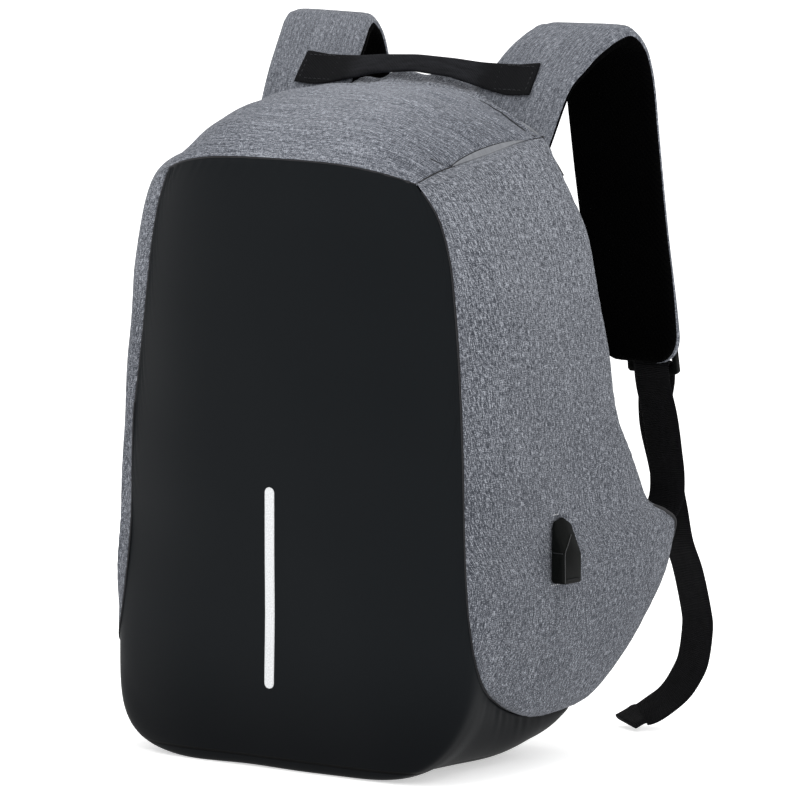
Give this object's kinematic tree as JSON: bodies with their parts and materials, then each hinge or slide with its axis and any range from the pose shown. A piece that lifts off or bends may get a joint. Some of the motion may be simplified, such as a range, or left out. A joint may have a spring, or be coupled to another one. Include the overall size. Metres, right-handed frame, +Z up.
{
  "type": "anti theft backpack",
  "caption": "Tall backpack with a smooth black front panel wrapped under it, grey fabric sides and domed top, padded shoulder straps with buckled webbing, and a top handle.",
  "frame": {"origin": "middle of the flat base, on the ground the bag stands on", "axes": "+Z up along the bag's height; +X across it, to the side with the charging port; -Y out of the black front panel, so the shoulder straps are on +Y"},
  "size_m": [0.3284, 0.3096, 0.491],
  "materials": {
    "grey_melange": "grey melange polyester with a fine woven grain",
    "coated_black": "smooth coated cloth with a soft sheen",
    "back_mesh": "padded air mesh",
    "strap_mesh": "black air mesh with slanting ribs",
    "webbing": "ribbed polyester webbing",
    "moulded_black": "moulded, fine satin",
    "reflective": "retroreflective tape",
    "seam_tape": "smooth grey tape",
    "zip_metal": "nickel-plated"
  },
  "bodies": {
    "root": {"front_panel": "coated_black", "base_panel": "coated_black", "top_panel": "grey_melange", "rear_gusset": "grey_melange", "side_panel_right": "grey_melange", "side_panel_left": "grey_melange", "back_panel": "back_mesh", "reflective_strip": "reflective", "shoulder_tape_right": "seam_tape", "shoulder_tape_left": "seam_tape", "usb_port_cover": "moulded_black", "strap_pad_right": "grey_melange", "strap_pad_left": "grey_melange", "strap_mesh_right": "strap_mesh", "strap_mesh_left": "strap_mesh", "handle": "webbing", "buckle_right": "moulded_black", "buckle_left": "moulded_black", "buckle_tab_right": "webbing", "buckle_tab_left": "webbing", "webbing_right": "webbing", "webbing_left": "webbing", "zip_slider_right": "zip_metal", "zip_puller_right": "zip_metal", "zip_slider_left": "zip_metal", "zip_puller_left": "zip_metal"}
  },
  "joints": []
}
